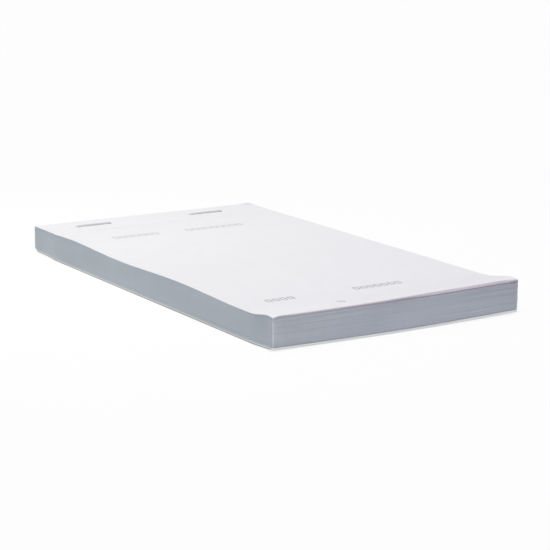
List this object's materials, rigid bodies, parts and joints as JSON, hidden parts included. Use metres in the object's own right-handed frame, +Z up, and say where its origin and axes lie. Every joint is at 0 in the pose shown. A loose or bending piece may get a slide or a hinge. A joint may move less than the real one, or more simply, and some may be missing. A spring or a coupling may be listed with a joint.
{
  "type": "triplicate pad",
  "caption": "Stapled pad of three-part carbonless order sheets on a backing board, whose top set of copies lifts leaf by leaf at a perforated fold line.",
  "frame": {"origin": "on the table, under the middle of the pad", "axes": "+X across the pad to the right, +Y along the pad to its stapled end, +Z up out of the top sheet"},
  "size_m": [0.095, 0.171, 0.0114],
  "materials": {
    "white_paper": "matte",
    "blue_paper": "matte",
    "pink_paper": "matte",
    "set_paper": "matte",
    "pale_board": "matte",
    "staple_wire": "satin"
  },
  "bodies": {
    "pad": {"backing_board": "pale_board", "staple_left": "staple_wire", "staple_right": "staple_wire", "top_copy_stub": "white_paper", "middle_copy_stub": "blue_paper", "bottom_copy_stub": "pink_paper", "set_02": "set_paper", "set_03": "set_paper", "set_04": "set_paper", "set_05": "set_paper", "set_06": "set_paper", "set_07": "set_paper", "set_08": "set_paper", "set_09": "set_paper", "set_10": "set_paper", "set_11": "set_paper", "set_12": "set_paper", "set_13": "set_paper", "set_14": "set_paper", "set_15": "set_paper", "set_16": "set_paper", "set_17": "set_paper", "set_18": "set_paper", "set_19": "set_paper", "set_20": "set_paper", "set_21": "set_paper", "set_22": "set_paper", "set_23": "set_paper", "set_24": "set_paper", "set_25": "set_paper", "set_26": "set_paper", "set_27": "set_paper", "set_28": "set_paper", "set_29": "set_paper", "set_30": "set_paper", "set_31": "set_paper", "set_32": "set_paper", "set_33": "set_paper", "set_34": "set_paper", "set_35": "set_paper", "set_36": "set_paper", "set_37": "set_paper", "set_38": "set_paper", "set_39": "set_paper", "set_40": "set_paper", "set_41": "set_paper", "set_42": "set_paper", "set_43": "set_paper", "set_44": "set_paper", "set_45": "set_paper", "set_46": "set_paper", "set_47": "set_paper", "set_48": "set_paper", "set_49": "set_paper", "set_50": "set_paper"},
    "bottom_copy": {"bottom_copy": "pink_paper"},
    "middle_copy": {"middle_copy": "blue_paper"},
    "top_copy": {"top_copy": "white_paper"}
  },
  "joints": [
    {"name": "bottom_copy_fold", "type": "hinge", "parent": "pad", "child": "bottom_copy", "pos_m": [0, 0.0665, 0.01], "axis": [-1, 0, 0], "range_deg": [0, 58]},
    {"name": "middle_copy_fold", "type": "hinge", "parent": "bottom_copy", "child": "middle_copy", "pos_m": [0, 0.0665, 0.01], "axis": [-1, 0, 0], "range_deg": [0, 58]},
    {"name": "top_copy_fold", "type": "hinge", "parent": "middle_copy", "child": "top_copy", "pos_m": [0, 0.0665, 0.01], "axis": [-1, 0, 0], "range_deg": [0, 58]}
  ]
}
